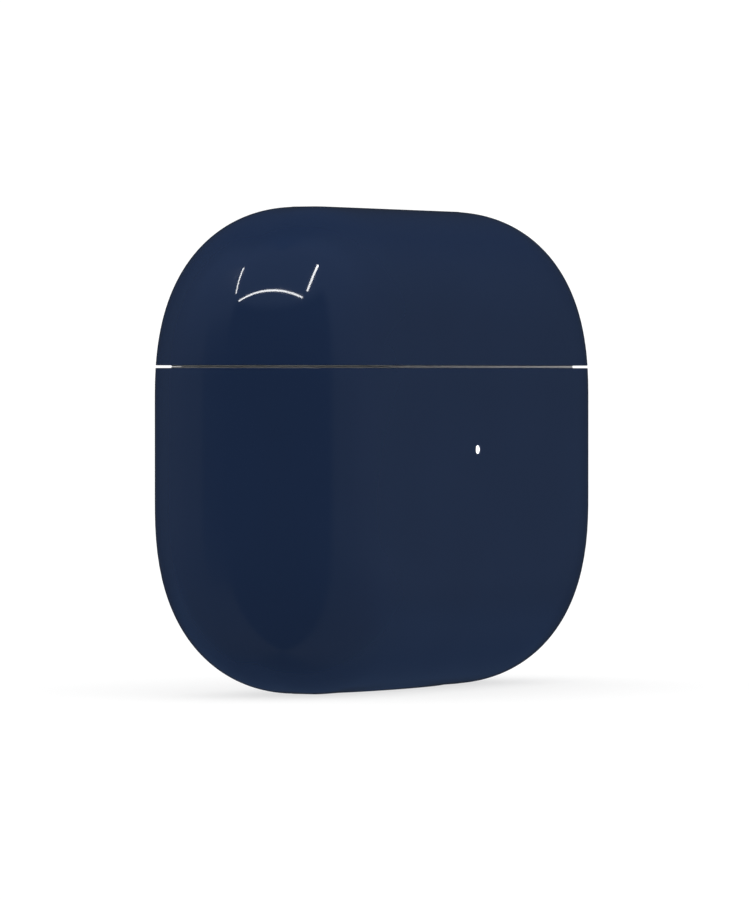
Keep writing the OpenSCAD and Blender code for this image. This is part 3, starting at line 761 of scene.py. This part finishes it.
def knuckle(low, high, bore_low, bore_high):
    """A barrel along the hinge's axis with soft ends, and the bore of its pin."""
    r = BARREL_R
    edge = 0.12
    outside = [(0, low), (r - edge, low), (r, low + edge), (r, high - edge), (r - edge, high), (0, high)]
    bore = [(0, bore_low), (PIN_R, bore_low), (PIN_R, bore_high), (0, bore_high)]
    centre = (0, AXIS_Y, AXIS_Z)
    return revolved(outside, centre, "X"), revolved(bore, centre, "X", 48)


def bracket(name, xs, leaf_end, up, barrel, bore, screws):
    """A leaf, an arm and a barrel between two x values, with the bore and the screws' seats cut out.

    The leaf runs from beside the axis to the height leaf_end, upwards if up is 1 and downwards if -1."""
    x0, x1 = xs
    leaf_z = sorted((AXIS_Z + up * LEAF_START, leaf_end))
    arm_z = sorted((AXIS_Z + up * ARM_NEAR, AXIS_Z + up * ARM_FAR))
    outline = rounded_points((x0, leaf_z[0]), (x1, leaf_z[1]), LEAF_CORNER_R)
    obj = to_object(name, prism(outline, "Y", LEAF_FRONT, LEAF_FRONT + LEAF_T))
    arm = block((x0 + ARM_INSET, LEAF_FRONT, arm_z[0]), (x1 - ARM_INSET, AXIS_Y, arm_z[1]))
    combine(obj, [arm, barrel], "UNION")
    return combine(obj, [bore] + [screw_seat(x, z) for x, z in screws], "DIFFERENCE")


def make_hinge_base():
    """Both base brackets: each has a barrel, an arm and a leaf down the cradle's back."""
    start = KNUCKLE_HALF + KNUCKLE_SPACE
    leaf_low = box_mm("hinge_base_bracket")[0][2]
    screw_x, screw_z = BASE_SCREW
    pieces = []
    for side in (1, -1):
        x0, x1 = sorted((side * start, side * BARREL_HALF))
        bore_ends = sorted((side * (BARREL_HALF - PIN_END_WALL), side * (start - OVER)))
        barrel, bore = knuckle(x0, x1, *bore_ends)
        screws = [(side * screw_x, screw_z)]
        pieces.append(bracket("hinge_base", (x0, x1), leaf_low, -1, barrel, bore, screws))
    return smooth(joined(pieces, "hinge_base_brackets"))


def joined(objs, name):
    """One object from several that do not touch."""
    bm = bmesh.new()
    for obj in objs:
        bm.from_mesh(obj.data)
        bpy.data.objects.remove(obj, do_unlink=True)
    mesh = bpy.data.meshes.new(name)
    bm.to_mesh(mesh)
    bm.free()
    obj = bpy.data.objects.new(name, mesh)
    bpy.context.scene.collection.objects.link(obj)
    return obj


def make_hinge_lid():
    """The lid's bracket: the middle barrel, an arm and a leaf up the liner's back."""
    leaf_high = box_mm("hinge_lid_bracket")[1][2]
    half = KNUCKLE_HALF
    screw_x, screw_z = LID_SCREW
    barrel, bore = knuckle(-half, half, -half - OVER, half + OVER)
    screws = [(screw_x, screw_z), (-screw_x, screw_z)]
    return smooth(bracket("hinge_lid", (-half, half), leaf_high, 1, barrel, bore, screws))


# ---- Button, light and port ----


def make_button():
    """The pairing button: a dished cap with a soft edge, a flange behind the shell, and its pusher."""
    edge = 0.25
    hollow = 0.15
    flange_r, pusher_r = BUTTON_R + 1, 1.2
    flange_back = HALF_D - WALL - 0.2
    flange_front = flange_back - 0.7
    dish_r = BUTTON_R - edge
    dish = [(dish_r * k, BUTTON_FACE - hollow * (1 - k * k)) for k in np.linspace(1, 0, 10)]
    profile = [(0, BUTTON_TIP), (pusher_r, BUTTON_TIP), (pusher_r, flange_front), (flange_r, flange_front),
               (flange_r, flange_back), (BUTTON_R, flange_back)]
    profile += arc((dish_r, BUTTON_FACE - edge), edge, 0, 90)[:-1] + dish
    profile[-1] = (0, BUTTON_FACE - hollow)
    return smooth(to_object("pairing_button_cap", revolved(profile, (0, 0, BUTTON_Z), "Y")))


def make_light_pipe():
    """The status light's lens, slightly domed, on its wider foot inside the shell."""
    lens_r, foot_r = LIGHT_R - 0.01, 0.8
    face = LIGHT_LOW[1]
    crown = 0.06
    dome = [(lens_r * k, face + crown * k * k) for k in np.linspace(0, 1, 8)]
    dome[0] = (0, face)
    inner_face = -HALF_D + WALL
    foot = LIGHT_HIGH[1]
    profile = dome + [(lens_r, inner_face), (foot_r, inner_face), (foot_r, foot), (0, foot)]
    return smooth(to_object("light_lens", revolved(profile, (0, 0, LIGHT_Z), "Y", 48)))


def slot_rings(w, d, steps):
    """Rings of a slot w by d from (inset, z) steps."""
    return [[(x, y, z) for x, y in slot_points(w - 2 * inset, d - 2 * inset)] for inset, z in steps]


def make_port_trim():
    """The bright ring round the socket, its mouth eased on both edges."""
    w, d = TRIM_HIGH[0] - TRIM_LOW[0], TRIM_HIGH[1] - TRIM_LOW[1]
    low, high = TRIM_LOW[2], TRIM_HIGH[2]
    band = (d - (PORT_HIGH[1] - PORT_LOW[1])) / 2
    edge, bevel = 0.1, 0.3
    steps = [(0, high)] + [(edge - x, low + edge - z) for x, z in arc((0, 0), edge, 0, 90)]
    steps += [(band - bevel, low), (band, low + bevel), (band, high)]
    return smooth(to_object("port_trim_ring", loft(slot_rings(w, d, steps), closed=True)))


def make_receptacle():
    """The socket's metal shell: a drawn slot tube with a rolled mouth and a closed end."""
    w, d = PORT_HIGH[0] - PORT_LOW[0], PORT_HIGH[1] - PORT_LOW[1]
    low, high = PORT_LOW[2], PORT_HIGH[2]
    r = PORT_SHEET / 2
    lip = [(r - x, low + r - z) for x, z in arc((0, 0), r, 0, 180, 10)]
    steps = [(0, high)] + lip + [(PORT_SHEET, high - PORT_SHEET)]
    return smooth(to_object("socket_shell", loft(slot_rings(w, d, steps))))


def make_tongue():
    """The socket's tongue on its base."""
    low, high = box_mm("usb_tongue")
    w, d = PORT_HIGH[0] - PORT_LOW[0] - 2 * PORT_SHEET, PORT_HIGH[1] - PORT_LOW[1] - 2 * PORT_SHEET
    root = 6
    half_w, half_t = 3.35, 0.35
    obj = to_object("socket_tongue", prism(slot_points(w, d), "Z", root, high[2]))
    blade = rounded_points((-half_w, low[2]), (half_w, root + 0.5), half_t)
    combine(obj, [prism(blade, "Y", -half_t, half_t)], "UNION")
    return smooth(obj)


# ---- Charging contacts ----


def make_spring(name, low, high):
    """A contact's compression spring, with a closed coil at each end."""
    wire_r = 0.08
    turn_steps = 24
    open_turns = 4
    mid_x, mid_y = (low[0] + high[0]) / 2, (low[1] + high[1]) / 2
    coil_r = (high[0] - low[0]) / 2 - wire_r
    rise = high[2] - low[2] - 2 * wire_r
    closed_rise = 2.1 * wire_r
    turns = np.linspace(0, open_turns + 2, turn_steps * (open_turns + 2) + 1)
    closed_ends = (0, 1, open_turns + 1, open_turns + 2)
    heights = np.interp(turns, closed_ends, (0, closed_rise, rise - closed_rise, rise))
    rings = []
    for turn, height in zip(turns, heights):
        a = 2 * math.pi * turn
        section = arc((coil_r, low[2] + wire_r + height), wire_r, 0, 324, 9)
        rings.append([(mid_x + r * math.cos(a), mid_y + r * math.sin(a), z) for r, z in section])
    return smooth(to_object(name, loft(rings)), 60)


def make_springs(finishes):
    """The four contact springs, one for each contact's plunger, each wound to fit its CAD node's box and given
    a mesh of its own.
    """
    for joint in frame["record"]["behaviour"]["joints"]:
        if not joint["name"].endswith("_contact"):
            continue
        node = joint["name"].replace("_contact", "_spring")
        low, high = box_mm(node)
        obj = place(make_spring(node + "_wire", low, high), node, "base", "satin_steel", finishes)
        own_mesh(obj)


# ---- Studio ----

CAMERA_AZIMUTH = math.radians(-60.9)
CAMERA_SIDE = (math.sin(CAMERA_AZIMUTH), -math.cos(CAMERA_AZIMUTH), 0)


def make_camera():
    """The camera of the main view: about as high as the seam, off the case's front left corner."""
    distance = 690.8
    height = 29.84
    aim = Vector((-0.09, 0.17, 22.5)) * MM
    data = bpy.data.cameras.new("camera")
    data.sensor_width = 36
    data.lens = 292.9
    data.clip_start = 0.01
    data.clip_end = 50
    camera = bpy.data.objects.new("camera", data)
    bpy.context.scene.collection.objects.link(camera)
    place_at = Vector((CAMERA_SIDE[0] * distance, CAMERA_SIDE[1] * distance, height)) * MM
    camera.location = place_at
    camera.rotation_mode = "QUATERNION"
    camera.rotation_quaternion = (aim - place_at).to_track_quat("-Z", "Y")
    bpy.context.scene.camera = camera


class WorldNodes:
    """Short names for the nodes of the studio's light."""

    def __init__(self):
        world = bpy.data.worlds.new("studio")
        bpy.context.scene.world = world
        world.use_nodes = True
        self.tree = world.node_tree
        self.background = self.tree.nodes["Background"]
        self.direction = self.tree.nodes.new("ShaderNodeTexCoord").outputs["Generated"]
        path = self.tree.nodes.new("ShaderNodeLightPath")
        self.glossy = path.outputs["Is Glossy Ray"]

    def feed(self, socket, value):
        """Links a node's output to a socket, or sets the socket to a number or a colour."""
        if isinstance(value, bpy.types.NodeSocket):
            self.tree.links.new(value, socket)
        else:
            socket.default_value = value

    def math(self, operation, a, b=0.0):
        """One math node."""
        node = self.tree.nodes.new("ShaderNodeMath")
        node.operation = operation
        self.feed(node.inputs[0], a)
        self.feed(node.inputs[1], b)
        return node.outputs[0]

    def vector(self, operation, a, b, output="Vector"):
        """One vector math node. For SCALE, b is the factor."""
        node = self.tree.nodes.new("ShaderNodeVectorMath")
        node.operation = operation
        self.feed(node.inputs[0], a)
        self.feed(node.inputs["Scale"] if operation == "SCALE" else node.inputs[1], b)
        return node.outputs[output]

    def step(self, value, start, end, low=0.0, high=1.0):
        """A smooth step from low to high as value goes from start to end."""
        node = self.tree.nodes.new("ShaderNodeMapRange")
        node.interpolation_type = "SMOOTHSTEP"
        for name, number in (("From Min", start), ("From Max", end), ("To Min", low), ("To Max", high)):
            node.inputs[name].default_value = number
        self.feed(node.inputs["Value"], value)
        return node.outputs["Result"]

    def ramp(self, value, stops):
        """A ramp of grey levels or colours."""
        node = self.tree.nodes.new("ShaderNodeValToRGB")
        elements = node.color_ramp.elements
        for element, (position, level) in zip([elements[0], elements[1]], (stops[0], stops[-1])):
            element.position = position
            element.color = (*level, 1)
        for position, level in stops[1:-1]:
            elements.new(position).color = (*level, 1)
        self.feed(node.inputs["Fac"], value)
        return node.outputs["Color"]


# The walls that reflections show, from behind the case (0) round to the camera's side (1)
WALL_STOPS = [
    (0.0, (0.02, 0.024, 0.03)),
    (0.07, (0.024, 0.028, 0.034)),
    (0.2, (0.06, 0.068, 0.066)),
    (0.42, (0.1, 0.105, 0.1)),
    (1.0, (0.1, 0.11, 0.1)),
]
CEILING = (0.06, 0.105, 0.24)
GROUND = (0.014, 0.03, 0.07)
UNDER_FLAG_LOSS = (0.6, 0.7, 0.85)


def make_world():
    """Even white light, and for reflections a dim studio with a black flag behind the camera."""
    w = WorldNodes()
    split = w.tree.nodes.new("ShaderNodeSeparateXYZ")
    w.feed(split.inputs[0], w.direction)
    up = split.outputs["Z"]
    level = w.math("SQRT", w.math("SUBTRACT", 1.0001, w.math("MULTIPLY", up, up)))
    towards = w.vector("DOT_PRODUCT", w.direction, CAMERA_SIDE, "Value")
    ahead = w.math("DIVIDE", towards, level)

    # What glossy rays see
    walls = w.ramp(w.math("ADD", w.math("MULTIPLY", ahead, 0.5), 0.5), WALL_STOPS)
    horizon = w.vector("SCALE", walls, w.step(up, -0.35, -0.02, 0.75, 1.0))
    high = w.math("MULTIPLY", w.step(up, 0.0, 0.95), w.step(towards, -0.45, -0.1, 0.4, 1.0))
    low = w.math("MULTIPLY", w.step(up, -0.15, -0.4), w.step(towards, -0.2, -0.6))
    ceiling, ground = w.vector("SCALE", CEILING, high), w.vector("SCALE", GROUND, low)
    around = w.vector("ADD", w.vector("ADD", horizon, ceiling), ground)
    flag = w.math("MULTIPLY", w.step(ahead, 0.37, 0.55), w.step(up, 0.72, 0.6))
    studio = w.vector("SCALE", around, w.math("SUBTRACT", 1.0, flag))

    # What all other rays see
    even = w.vector("SCALE", (1, 1, 1), w.step(up, -0.4, 0.0, 1.0, 1.08))
    under_flag = w.math("MULTIPLY", w.step(ahead, 0.4, 0.9), w.step(up, -0.15, -0.5))
    soft = w.vector("SUBTRACT", even, w.vector("SCALE", UNDER_FLAG_LOSS, under_flag))

    mix = w.tree.nodes.new("ShaderNodeMix")
    mix.data_type = "VECTOR"
    w.feed(mix.inputs["Factor"], w.glossy)
    w.tree.links.new(soft, mix.inputs["A"])
    w.tree.links.new(studio, mix.inputs["B"])
    w.tree.links.new(mix.outputs["Result"], w.background.inputs["Color"])


def studio_point(ahead, right, up):
    """A point in metres, from the case towards the camera, to the camera's right hand, and up."""
    x, y, _ = CAMERA_SIDE
    return Vector((x * ahead - y * right, y * ahead + x * right, up))


def light_strip(name, start, end, width, material):
    """A thin bright strip overhead that is seen only in reflections."""
    start, end = studio_point(*start), studio_point(*end)
    across = (end - start).cross(Vector((0, 0, 1))).normalized() * width / 2
    bm = bmesh.new()
    corners = [start - across, end - across, end + across, start + across]
    bm.faces.new([bm.verts.new(c / MM) for c in corners])
    strip = to_object(name, bm)
    strip.data.materials.append(material)
    strip.visible_camera = False
    strip.visible_diffuse = False
    strip.visible_shadow = False
    strip.visible_transmission = False


def make_strips():
    """Three edges of an overhead light panel, each a name, two ends (ahead, right) and a width, in metres."""
    s = Shader("strip_light")
    s.set(Emission_Color=(1, 1, 1, 1), Emission_Strength=26)
    s.colour(s.noise(3), (0.9, 0.9, 0.9), (0.95, 0.95, 0.95))
    height = 1.04
    edges = [
        ("front", (0.61, -1.0), (0.89, 0.61), 0.038),
        ("right", (0.72, 0.65), (0.17, 0.58), 0.038),
        ("left", (0.39, -0.97), (0.0, -0.63), 0.02),
    ]
    for name, start, end, width in edges:
        light_strip(f"{name}_strip", (*start, height), (*end, height), width, s.material)


def make_floor():
    """A white floor that fades into the background, with a faint shadow where the case stands."""
    bm = bmesh.new()
    bmesh.ops.create_grid(bm, x_segments=1, y_segments=1, size=6000)
    floor = to_object("floor", bm)
    s = Shader("floor")
    s.set(Roughness=1.0, Specular_IOR_Level=0.0, Emission_Color=(1, 1, 1, 1), Emission_Strength=0.7)
    s.colour(s.noise(3), (0.34, 0.34, 0.34), (0.35, 0.35, 0.35))
    floor.data.materials.append(s.material)
    floor.visible_glossy = False
    floor.visible_diffuse = False
    floor.visible_shadow = False


def main():
    """The camera, a finish for every CAD node, the pieces that stand for some of them, and the studio."""
    make_camera()
    finishes = make_finishes()
    finish_nodes(finishes)
    place(make_body_shell(), "body_shell", "base", "navy_gloss", finishes)
    place(make_lid_shell(), "lid_shell", "lid", "navy_gloss", finishes)
    place(make_cradle(), "cradle", "base", "ivory_gloss", finishes)
    place(make_lid_liner(), "lid_liner", "lid", "ivory_gloss", finishes)
    place(make_hinge_base(), "hinge_base_bracket", "base", "satin_steel", finishes)
    place(make_hinge_lid(), "hinge_lid_bracket", "lid", "satin_steel", finishes)
    place(make_button(), "pairing_button", "button", "navy_gloss", finishes)
    place(make_light_pipe(), "light_pipe", "base", "light_white", finishes)
    place(make_port_trim(), "port_trim", "base", "satin_steel", finishes)
    place(make_receptacle(), "usb_receptacle", "base", "satin_steel", finishes)
    place(make_tongue(), "usb_tongue", "base", "black_plastic", finishes)
    make_springs(finishes)
    make_world()
    make_strips()
    make_floor()
    bpy.context.scene.view_settings.view_transform = "Standard"


main()
